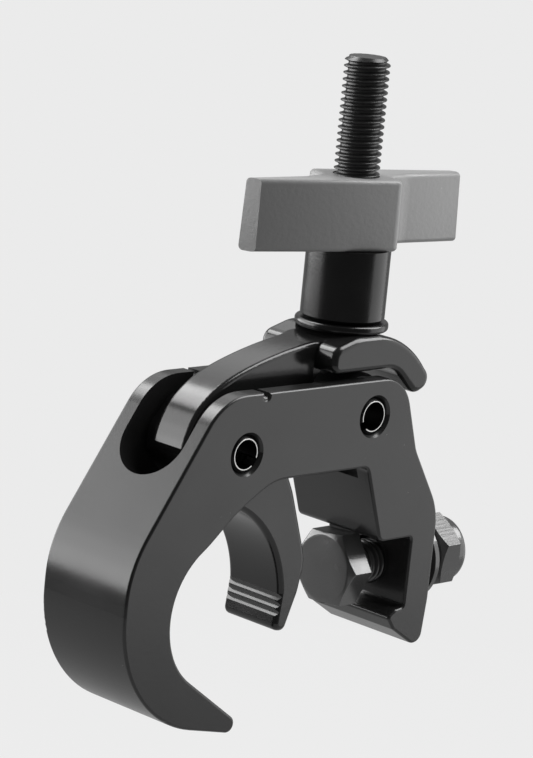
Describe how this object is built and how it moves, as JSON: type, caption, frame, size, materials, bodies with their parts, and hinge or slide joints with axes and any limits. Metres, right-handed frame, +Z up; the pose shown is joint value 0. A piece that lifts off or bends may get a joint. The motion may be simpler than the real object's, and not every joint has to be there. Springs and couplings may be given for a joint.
{
  "type": "pipe clamp",
  "caption": "Black hook clamp for a round tube: a pivoting jaw lever is locked by a swing bolt with a wing handle, and a hex bolt through its leg carries a fixture.",
  "frame": {"origin": "centre of the tube seat's full arc, halfway across the body's width", "axes": "+Y along the clamped tube, +Z up toward the wing handle, +X from the hook toward the fixture leg"},
  "size_m": [0.1331, 0.03, 0.1696],
  "materials": {
    "black_coat": "satin black coat",
    "gloss_coat": "gloss black coat",
    "pin_steel": "bare spring steel",
    "gloss_steel": "gloss black plated",
    "dark_zinc": "dark zinc plated",
    "cast_grey": "matte dark grey casting",
    "insert_nylon": "dark nylon"
  },
  "bodies": {
    "hook": {"hook_body": "black_coat", "lever_pin": "pin_steel", "bolt_pin": "pin_steel"},
    "lever": {"jaw_lever": "gloss_coat"},
    "swing": {"swing_bolt": "dark_zinc"},
    "washer": {"rod_washer": "gloss_steel"},
    "handle": {"sleeve_nut": "gloss_steel", "wing_handle": "cast_grey"},
    "fixing": {"hex_bolt": "dark_zinc"},
    "loose_washer": {"flat_washer": "dark_zinc"},
    "nut_ring": {"nut_insert": "insert_nylon"},
    "nut": {"hex_nut": "dark_zinc"}
  },
  "joints": [
    {"name": "lever_pivot", "type": "hinge", "parent": "hook", "child": "lever", "pos_m": [0, 0, 0.0407], "axis": [0, -1, 0], "range_deg": [0, 22.5]},
    {"name": "bolt_swing", "type": "hinge", "parent": "hook", "child": "swing", "pos_m": [0.04567, 0, 0.04638], "axis": [0, -1, 0], "range_deg": [0, 20.5]},
    {"name": "handle_travel", "type": "slide", "parent": "swing", "child": "washer", "axis": [-0.0105, 0, 0.9999], "range_m": [0, 0.0212]},
    {"name": "handle_spin", "type": "hinge", "parent": "washer", "child": "handle", "pos_m": [0.04521, 0, 0.09], "axis": [-0.0105, 0, 0.9999], "range_deg": [0, 4320]},
    {"name": "bolt_slide", "type": "slide", "parent": "hook", "child": "fixing", "axis": [1, 0, 0], "range_m": [0, 0.0055]},
    {"name": "washer_slide", "type": "slide", "parent": "fixing", "child": "loose_washer", "axis": [1, 0, 0], "range_m": [-0.0048, 0.0008]},
    {"name": "nut_travel", "type": "slide", "parent": "fixing", "child": "nut_ring", "axis": [1, 0, 0], "range_m": [-0.0026, 0]},
    {"name": "nut_spin", "type": "hinge", "parent": "nut_ring", "child": "nut", "pos_m": [0.0855, 0, 0.00175], "axis": [1, 0, 0], "range_deg": [-540, 0]}
  ],
  "couplings": [
    {"joint": "handle_travel", "follows": "handle_spin", "m_per_rad": 0.00027852},
    {"joint": "bolt_swing", "follows": "handle_spin", "ratio": 0.0046296},
    {"joint": "lever_pivot", "follows": "handle_spin", "ratio": 0.0050926},
    {"joint": "nut_spin", "follows": "nut_travel", "rad_per_m": 3590.4}
  ]
}
